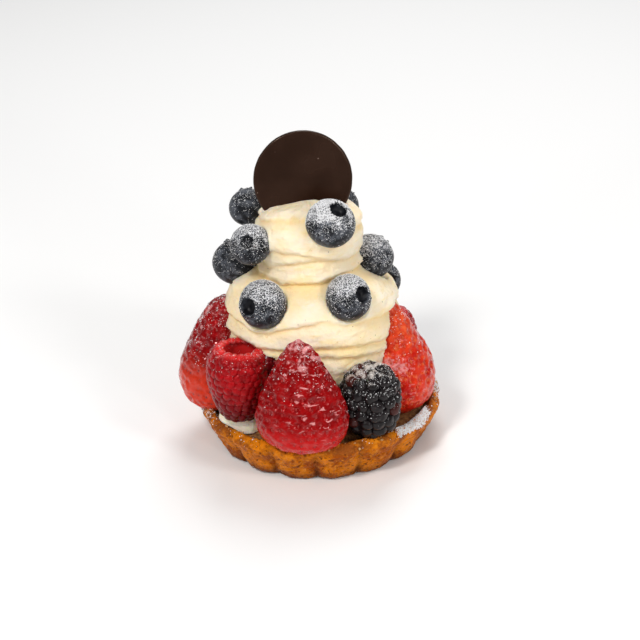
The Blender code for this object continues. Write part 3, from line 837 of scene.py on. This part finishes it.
def make_blueberries(material):
    """All blueberries. Returns their forms, and for each what its grains of sugar go by."""
    forms, dusted = [], []
    for number, berry in enumerate(BLUEBERRIES, 1):
        azimuth, reach, height, diameter, crown_azimuth, crown_rise, sugar = berry
        rise = math.radians(crown_rise)
        crown = at_azimuth(crown_azimuth, math.cos(rise), math.sin(rise))
        points, faces, dark = blueberry_form(diameter / 2, crown, number * 1.7)
        centre = at_azimuth(azimuth, reach, height) + np.array((CONE_X, 0, 0))
        local = points / (diameter / 2)
        points = points + centre
        clumps = wobble(points, 2.2, number, 2)
        frost = sugar * ramp(-0.6, 0.9, local[:, 2] - 0.15 * local[:, 1] + 0.5 * clumps)
        masks = {"crown": dark, "sugar": 0.6 * frost * (1 - 0.8 * dark)}
        node = f"blueberry_{number:02d}"
        piece(f"{node}_skin", (points, faces), material, [node], masks)
        forms.append((points, faces))
        dusted.append(((points, faces), centre, diameter / 2, crown, sugar))
    return forms, dusted


# Strawberries

# The skin's colours: deep, bright and pale red, and how strongly pale red mottles it.
STRAWBERRY_REDS = {
    "front": ((0.18, 0.001, 0.002), (0.30, 0.002, 0.003), (0.55, 0.012, 0.012), 0.1),
    "left": ((0.18, 0.001, 0.003), (0.32, 0.002, 0.004), (0.60, 0.038, 0.015), 0.1),
    "right": ((0.46, 0.008, 0.004), (0.66, 0.035, 0.010), (0.76, 0.14, 0.04), 0.6),
    "back": ((0.24, 0.001, 0.003), (0.42, 0.005, 0.006), (0.60, 0.04, 0.015), 0.2),
}
SEED_REDS = {
    "front": ((0.36, 0.010, 0.008), (0.26, 0.004, 0.004)),
    "left": ((0.30, 0.012, 0.008), (0.18, 0.004, 0.004)),
    "right": ((0.68, 0.10, 0.02), (0.50, 0.04, 0.010)),
    "back": ((0.40, 0.08, 0.02), (0.26, 0.03, 0.01)),
}

# Where each is pale: the shares of its length where that ends and is full, its slant, and how pale.
PALE = {
    "front": (0.38, 0.05, 0.0, 1.0),
    "left": (0.5, 0.15, -0.3, 1.0),
    "right": (0.55, 0.75, 0.0, 0.25),
    "back": (0.38, 0.05, 0.0, 1.0),
}

# Where fine sugar lies on each, by shares of its length and width and by how clumped it is there.
SUGARED = {
    "front": lambda along, side, clumps: 0.62 * ramp(0.5, 1.0, along + 0.2 * clumps)
    + 0.2 * ramp(0.1, 0.5, clumps),
    "left": lambda along, side, clumps: 0.52 * ramp(0.25, 0.95, along + 0.35 * clumps),
    "right": lambda along, side, clumps: 0.65 * hump(along, 0.5, 0.22) * hump(side, -0.40, 0.2)
    + 0.12 * clumps,
    "back": lambda along, side, clumps: 0.5 * ramp(0.3, 1.0, along + 0.3 * clumps),
}

# How strongly the small pinkish painted highlights, which stand in for glints on the glaze, show on each.
PAINTED_HIGHLIGHTS = {
    "front": lambda along, side: 0.75 * ramp(-0.5, 0.15, side) * ramp(0.1, 0.35, along),
    "left": lambda along, side: 0.6 * ramp(0.3, 0.7, along),
    "right": lambda along, side: 0.35 * ramp(0.2, -0.4, side),
    "back": lambda along, side: 0.5 * ramp(0.3, 0.8, along),
}


def strawberry_grid(length, width, outward, inward, bluntness):
    """Rings of points of half a strawberry on its hulled end."""
    along, share = np.array(STRAWBERRY_OUTLINE).T
    outline = np.stack([share**bluntness * width / 2, along * length], -1)
    fine = resampled(outline, 0.36, 6)[1:-1]
    around = ring_angles(STRAWBERRY_COLUMNS)
    x = fine[:, :1] * np.sin(around)
    across = -fine[:, :1] * np.cos(around) / (width / 2)
    y = np.where(across > 0, np.minimum(across * inward, 0.8 * inward), across * outward)
    return stacked(x, y, fine[:, 1:])


def make_strawberry(which, numbers, look):
    """One strawberry, its skin swollen between the seeds. Returns its flesh and its seeds."""
    azimuth, reach, height, length, width, outward, inward, lean, bluntness = numbers
    points, faces = closed_form(strawberry_grid(length, width, outward, inward, bluntness))
    lumps = 0.35 * wobble(points[:-2], 8.0, azimuth, 2)
    points[:-2] += vertex_normals(points, faces)[:-2] * lumps[:, None]
    normals = vertex_normals(points, faces)
    seeds = seed_places(points, normals, length, width, bluntness)
    tree = tree_of([at for at, _ in seeds])
    gaps = np.array([tree.find(point)[2] for point in points.tolist()])
    pit = hump(gaps, 0, PIT_RADIUS)
    swell = ramp(0.5, 1.7, gaps)
    skin = ramp(0.0, 0.25, -normals[:, 1] + 0.35)
    uneven = 0.7 + 0.6 * ramp(-0.6, 0.6, wobble(points, 4.0, azimuth + 5, 2))
    none, fully, slant, amount = PALE[which]
    pale = amount * ramp(none, fully, points[:, 2] / length + slant * (points[:, 0] / width))
    quiet = 1 - 0.5 * pale
    waves = 0.22 * wobble(points, (2.6, 2.6, 1.7), azimuth + 9, 2)
    points = points + normals * ((0.24 * swell - 0.42 * pit) * skin * uneven * quiet + waves)[:, None]

    along, side = points[:, 2] / length, points[:, 0] / width
    masks = {
        # Where the pits get their painted shade.
        "pit": pit * skin,
        "pale": pale,
        "sugar": SUGARED[which](along, side, wobble(points, 3.0, azimuth + 2, 3)),
        # Where the small painted highlights show.
        "painted_highlight": PAINTED_HIGHLIGHTS[which](along, side),
    }
    place = at_azimuth(azimuth, reach, height)
    world = turned_to(points, azimuth, lean, place)
    node = f"strawberry_{which}"
    piece(f"{node}_flesh", (world, faces), look, [node], masks)
    seed_points, seed_faces, _ = joined([seed_form(at, normal) for at, normal in seeds])
    return (world, faces), (turned_to(seed_points, azimuth, lean, place), seed_faces)


def make_strawberries():
    """All strawberries with their seeds. Returns the forms of their flesh."""
    flesh = {}
    for which, *numbers in STRAWBERRIES:
        look = strawberry_look(f"strawberry_{which}_skin", *STRAWBERRY_REDS[which])
        flesh[which], seeds = make_strawberry(which, numbers, look)
        seed_name = f"strawberry_{which}_seeds"
        piece(seed_name, seeds, plain_look(seed_name, *SEED_REDS[which], 0.35, 3.0))
    return flesh


def vertex_normals(points, faces):
    across = triangle_normals(points[faces])
    normals = np.zeros_like(points)
    for corner in range(3):
        np.add.at(normals, faces[:, corner], across)
    return normals / np.maximum(np.linalg.norm(normals, axis=1), 1e-9)[:, None]


def tree_of(points):
    """A tree that finds the nearest of the points."""
    tree = KDTree(len(points))
    for index, point in enumerate(points):
        tree.insert(point, index)
    tree.balance()
    return tree


def seed_places(points, normals, length, width, bluntness):
    """Staggered rows of seeds over the skin side: a point and a normal each."""
    tree = tree_of(points.tolist())
    along, share = np.array(STRAWBERRY_OUTLINE).T
    seeds = []
    for row in range(int(length / SEED_ROW)):
        z = 1.6 + row * SEED_ROW
        half = np.interp(z / length, along[1:], share[1:]) ** bluntness * width / 2
        count = max(3, round(2 * math.pi * half * 0.86 / SEED_SPACING))
        for index in range(count):
            turn = 2 * math.pi * (index + 0.5 * (row % 2)) / count + rng.normal(0, 0.05)
            if math.cos(turn) < -0.35:
                continue
            x, y = half * math.sin(turn), -half * math.cos(turn)
            squeezed = y * (0.6 if y < 0 else 0.45)
            _, nearest, _ = tree.find((x, squeezed, z + rng.normal(0, 0.25)))
            if normals[nearest][1] < 0.2:
                seeds.append((np.array(points[nearest]), np.array(normals[nearest])))
    return seeds


def seed_form(at, normal):
    """A teardrop seed lying in its pit, point towards the strawberry's tip."""
    around = ring_angles(8)
    up = np.array((0.0, 0.0, 1.0))
    along = up - normal * np.dot(up, normal)
    along /= max(np.linalg.norm(along), 1e-6)
    across = np.cross(along, normal)
    place = np.linspace(-0.92, 0.92, 5)
    width = np.sqrt(1 - place**2) * (1 - 0.35 * place)
    size = 0.55 + 0.12 * rng.random()
    grid = (
        along * (place * size)[:, None, None]
        + across * (width[:, None] * 0.36 * np.cos(around))[..., None]
        + normal * (width[:, None] * 0.26 * np.sin(around))[..., None]
    )
    return closed_form(grid + at - normal * 0.38)


# Raspberries and brambles


def berry_outline(kind, half_width, half_length):
    """The berry's outline from its low end up. A raspberry's ends at the mouth of its hollow."""
    return resampled(np.array(kind.outline) * (half_width, half_length), 0.1, 12)


def drupelet(kind, centre, outwards, size, seed):
    """One drupelet: an uneven ball, slightly flattened outwards."""
    around = ring_angles(kind.columns)
    polar = np.linspace(np.pi - 0.25, 0.25, kind.rings)
    ring = np.sin(polar)[:, None]
    ball = stacked(ring * np.cos(around), ring * np.sin(around), np.cos(polar)[:, None])
    ball = ball * (1, 1, kind.squash)
    ball *= 1 + 0.05 * np.sin(2 * around + seed)[None, :, None]
    turn = np.array(Vector(outwards).to_track_quat("Z", "Y").to_matrix())
    return closed_form(ball * size @ turn.T + centre)


def cluster_berry(kind, length, width, seed):
    """The drupelets of a berry in staggered rows: forms, heights from -1 to 1 and a tint each."""
    size = kind.spacing * kind.size
    inset = size * kind.squash
    outline = berry_outline(kind, width / 2 - inset, length / 2 - inset)
    along = np.r_[0, np.cumsum(np.hypot(*np.diff(outline, axis=0).T))]
    slope = np.gradient(outline, along, axis=0)
    rows = max(3, round(along[-1] / (kind.spacing * 0.88)))
    forms, levels, tints = [], [], []
    for row in range(rows + 1):
        index = np.searchsorted(along, along[-1] * row / rows).clip(0, len(along) - 1)
        (reach, z), (dr, dz) = outline[index], slope[index]
        count = max(1, round(2 * math.pi * reach / kind.spacing))
        for step in range(count):
            turn = 2 * math.pi * (step + 0.5 * (row % 2) + 0.12 * rng.normal()) / count + seed
            outwards = np.array((dz * math.sin(turn), -dz * math.cos(turn), -dr))
            if count == 1:
                outwards = np.array((0, 0, 1.0 if row else -1.0))
            outwards /= np.linalg.norm(outwards)
            centre = np.array((reach * math.sin(turn), -reach * math.cos(turn), z))
            centre += outwards * rng.normal(0, 0.07) + (0, 0, rng.normal(0, 0.1))
            grown = size * (0.94 + 0.16 * rng.random())
            forms.append(drupelet(kind, centre, outwards, grown, rng.random() * 6))
            levels.append(2 * z / length)
            tints.append(rng.random())
    return forms, np.array(levels), np.array(tints)


def core_form(kind, length, width):
    """What shows between the drupelets, and the hollow where a raspberry's core was."""
    inset = kind.spacing * CORE_INSET
    outline = berry_outline(kind, width / 2 - inset, length / 2 - inset)[3:-3:3]
    if kind.hollow:
        share = np.linspace(0, 1, 18)[1:]
        mouth, top = outline[-1]
        reach = (mouth - 0.5) * np.sqrt(np.maximum(0.01, 1 - share**2))
        inner = np.stack([reach, top - share * HOLLOW_DEPTH * length], -1)
        outline = np.concatenate([outline, inner])
    return closed_form(turned(outline, 72))


def make_cluster(kind, berry, look, seed):
    """One berry of drupelets round its core. The tucked one is painted dark with shade, and its mouth
    doesn't show.
    """
    name, azimuth, reach, height, length, width, lean = berry
    tucked = name == "raspberry_tucked"
    drupelets, levels, tints = cluster_berry(kind, length, width, seed)
    points, faces, source = joined([*drupelets, core_form(kind, length, width)])
    core = source == len(drupelets)
    level = np.r_[levels, 0.0][source]
    level[core] = 2 * points[core, 2] / length
    tint = np.r_[tints, 0.5][source]
    # The core between the drupelets gets painted shade, except inside the hollow.
    gap = np.where(core, 1.0, 0.0)
    inside = np.zeros(len(points))
    if kind.hollow:
        off_axis = np.hypot(points[:, 0], points[:, 1]) / width
        inside = ramp(0.42, 0.34, off_axis) * ramp(0.0, 0.15, points[:, 2] / length)
        gap *= 1 - inside
    world = turned_to(points, azimuth, lean, at_azimuth(azimuth, reach, height))
    clumps = wobble(world, 2.0, seed, 2)
    frost = ramp(kind.frost_from, 1.1, points[:, 2] / length * 1.8 + 0.3 * clumps)
    masks = {
        # Painted shade towards the low end, and over the whole tucked berry, which lies in shade.
        "low": np.maximum(ramp(0.2, -0.75, level) * 0.9, 0.85 * tucked),
        "gap": gap,
        "inside": inside * (not tucked),
        "ruddy": (tint > RUDDY_FROM) * (1 - gap),
        "sugar": kind.frost * frost,
    }
    piece(f"{name}_drupelets", (world, faces), look, [name], masks)
    return world, faces


def make_clusters():
    """All raspberries and brambles. Returns their forms by name."""
    clusters = {}
    raspberry, bramble = raspberry_look(), bramble_look()
    for index, berry in enumerate(RASPBERRIES):
        clusters[berry[0]] = make_cluster(RASPBERRY, berry, raspberry, index * 1.3)
    for index, berry in enumerate(BRAMBLES):
        clusters[berry[0]] = make_cluster(BRAMBLE, berry, bramble, index * 2.1)
    return clusters


# Sugar and crumbs

STRAWBERRY_GRAINS = {"front": 360, "left": 650, "right": 200, "back": 450}
RIM_GRAINS = 2600
CRUMBS = 90
# Grains on a blueberry of the common radius, and which blueberry has sugar inside its crown too.
BLUEBERRY_GRAINS = 1900
COMMON_RADIUS = 7.5
FILLED_CROWN = 2


def blueberry_grains(form, centre, radius, crown, amount, filled):
    """Sugar on one blueberry, most on its top. Inside its crown only where that is filled."""

    def weight(middles, normals):
        clumps = wobble(middles, 2.2, 5, 2)
        top = ramp(-0.45, 1.0, normals[:, 2] - 0.15 * normals[:, 1] + 0.5 * clumps)
        along = (middles - centre) @ crown
        aside = np.linalg.norm(middles - centre - along[:, None] * crown, axis=1) / radius
        return (0.03 + top) * (filled | (along < 0) | (aside > 0.38))

    count = int(BLUEBERRY_GRAINS * amount * (radius / COMMON_RADIUS) ** 2)
    return grains(*scattered(form, count, weight), 0.11, 0.34)


def strawberry_grains(form, count):
    """Sugar on one strawberry, in clumps towards its tip."""

    def weight(middles, normals):
        top = ramp(24, 50, middles[:, 2] + 6 * wobble(middles, 3.0, 6, 2)) ** 1.5
        clumps = ramp(-0.2, 0.5, wobble(middles, 1.8, 7, 2))
        return top * clumps * ramp(-0.5, 0.6, normals[:, 2])

    return grains(*scattered(form, count, weight), 0.15, 0.45)


def cluster_grains(form, kind):
    """Sugar on the top of one raspberry or bramble."""

    def weight(middles, normals):
        high = middles[:, 2].max()
        dusted_from = high - kind.dusted_depth
        top = ramp(dusted_from, high - 3, middles[:, 2] + 3 * wobble(middles, 2.5, 8, 2))
        return top**1.5 * ramp(-0.3, 0.8, normals[:, 2])

    return grains(*scattered(form, kind.grains, weight), 0.12, 0.42)


def rim_grains(crust):
    """Sugar on the rim: a thick patch right of the front, and less at both sides."""

    def weight(middles, normals):
        azimuth = azimuth_of(middles)
        high = ramp(11.6, 12.6, middles[:, 2])
        sides = 0.35 * hump(azimuth, -82, 12) + 0.5 * hump(azimuth, 94, 9)
        return high * (sugar_patch(azimuth) + sides + 0.012) * ramp(-0.2, 0.4, normals[:, 2])

    return grains(*scattered(crust, RIM_GRAINS, weight), 0.2, 0.6)


def make_sugar(dusted, strawberries, clusters, crust, material):
    """Grains of sugar, a piece each: on the blueberries, on the ring of fruit and on the rim."""
    berry_grains = []
    for number, berry in enumerate(dusted, 1):
        berry_grains.append(blueberry_grains(*berry, number == FILLED_CROWN))
    points, faces, _ = joined(berry_grains)
    piece("sugar_on_blueberries", (points, faces), material, smooth=False)

    fruit_grains = []
    for which, form in strawberries.items():
        fruit_grains.append(strawberry_grains(form, STRAWBERRY_GRAINS[which]))
    for name, form in clusters.items():
        fruit_grains.append(cluster_grains(form, BRAMBLE if "bramble" in name else RASPBERRY))
    points, faces, _ = joined(fruit_grains)
    piece("sugar_on_ring_fruit", (points, faces), material, smooth=False)

    piece("sugar_on_rim", rim_grains(crust), material, smooth=False)


def make_crumbs(crust, material):
    """Pastry crumbs on the rim, most of them at the right."""

    def weight(middles, normals):
        sides = hump(azimuth_of(middles), 95, 14) + 0.25
        return sides * ramp(12.6, 13.6, middles[:, 2]) * ramp(0, 0.5, normals[:, 2])

    crumbs = grains(*scattered(crust, CRUMBS, weight), 0.5, 1.3)
    piece("rim_crumbs", crumbs, material, smooth=False)


# Stage

# Lamps: name, place in m, side of the square lamp in m, power and colour.
LAMPS = (
    ("key", (-0.30, -0.50, 0.75), 0.15, 3.9, (1.0, 0.98, 0.95)),
    ("side", (0.45, -0.45, 0.50), 0.12, 1.3, (1.0, 0.99, 0.97)),
    ("glint_right", (0.32, -0.62, 0.27), 0.08, 0.6, (1.0, 1.0, 1.0)),
    ("glint_left", (-0.40, -0.58, 0.34), 0.08, 0.4, (1.0, 1.0, 1.0)),
    ("back", (0.10, 0.45, 0.75), 0.45, 3.5, (1.0, 1.0, 1.0)),
)
LIT_POINT = (0, 0, 0.05)
SKY_STRENGTH = 0.36
FLOOR_HALF = 6


def make_stage():
    """A pale floor, an even white sky and the lamps."""
    look = Look("floor", 0.9, 0.1)
    look.paint((0.86, 0.86, 0.86), (look.noise(300.0, 2), (0.87, 0.87, 0.87)))
    mesh = bpy.data.meshes.new("floor")
    corners = [(x * FLOOR_HALF, y * FLOOR_HALF, 0) for x, y in ((-1, -1), (1, -1), (1, 1), (-1, 1))]
    mesh.from_pydata(corners, [], [(0, 1, 2, 3)])
    mesh.materials.append(look.material)
    floor = bpy.data.objects.new("floor", mesh)
    bpy.context.scene.collection.objects.link(floor)

    world = bpy.data.worlds.new("studio")
    world.use_nodes = True
    sky = world.node_tree.nodes["Background"]
    sky.inputs["Color"].default_value = (1.0, 1.0, 1.0, 1.0)
    sky.inputs["Strength"].default_value = SKY_STRENGTH
    bpy.context.scene.world = world

    for name, place, size, power, colour in LAMPS:
        light = bpy.data.lights.new(name, "AREA")
        light.size = size
        light.energy = power
        light.color = colour
        lamp = bpy.data.objects.new(name, light)
        lamp.location = place
        lamp.rotation_euler = (Vector(LIT_POINT) - Vector(place)).to_track_quat("-Z", "Y").to_euler()
        bpy.context.scene.collection.objects.link(lamp)


def make_camera():
    """The photograph's view: from the front and 27 degrees above, with 2.3 degrees of roll."""
    camera_data = bpy.data.cameras.new("camera")
    camera_data.lens = 100.9
    camera_data.sensor_width = 36.0
    camera_data.clip_start = 0.01
    camera = bpy.data.objects.new("camera", camera_data)
    right = Vector((0.9992, -0.0182, -0.0358))
    up = Vector((0.0401, 0.4536, 0.8903))
    back = right.cross(up)
    camera.matrix_world = Matrix.LocRotScale(
        Vector((0.00092, -0.5185, 0.3040)), Matrix((right, up, back)).transposed(), None
    )
    bpy.context.scene.collection.objects.link(camera)
    bpy.context.scene.camera = camera


def main():
    make_camera()
    make_stage()
    bpy.context.scene.view_settings.view_transform = "Standard"

    crust = make_crust(pastry_look())
    make_filling(almond_look())
    blueberries, dusted = make_blueberries(blueberry_look())
    strawberries = make_strawberries()
    clusters = make_clusters()
    fruit_points, fruit_faces, _ = joined([*blueberries, *strawberries.values(), *clusters.values()])
    cream = cream_look()
    make_cone(cream, (fruit_points, fruit_faces))
    make_foot(cream)
    make_disc(chocolate_look())
    sugar = plain_look("powder_sugar", (0.92, 0.92, 0.93), (0.84, 0.84, 0.86), 0.55, 0.6, 0.3)
    make_sugar(dusted, strawberries, clusters, crust, sugar)
    make_crumbs(crust, plain_look("pastry_crumbs", (0.62, 0.36, 0.14), (0.4, 0.18, 0.05), 0.7, 0.8))


main()
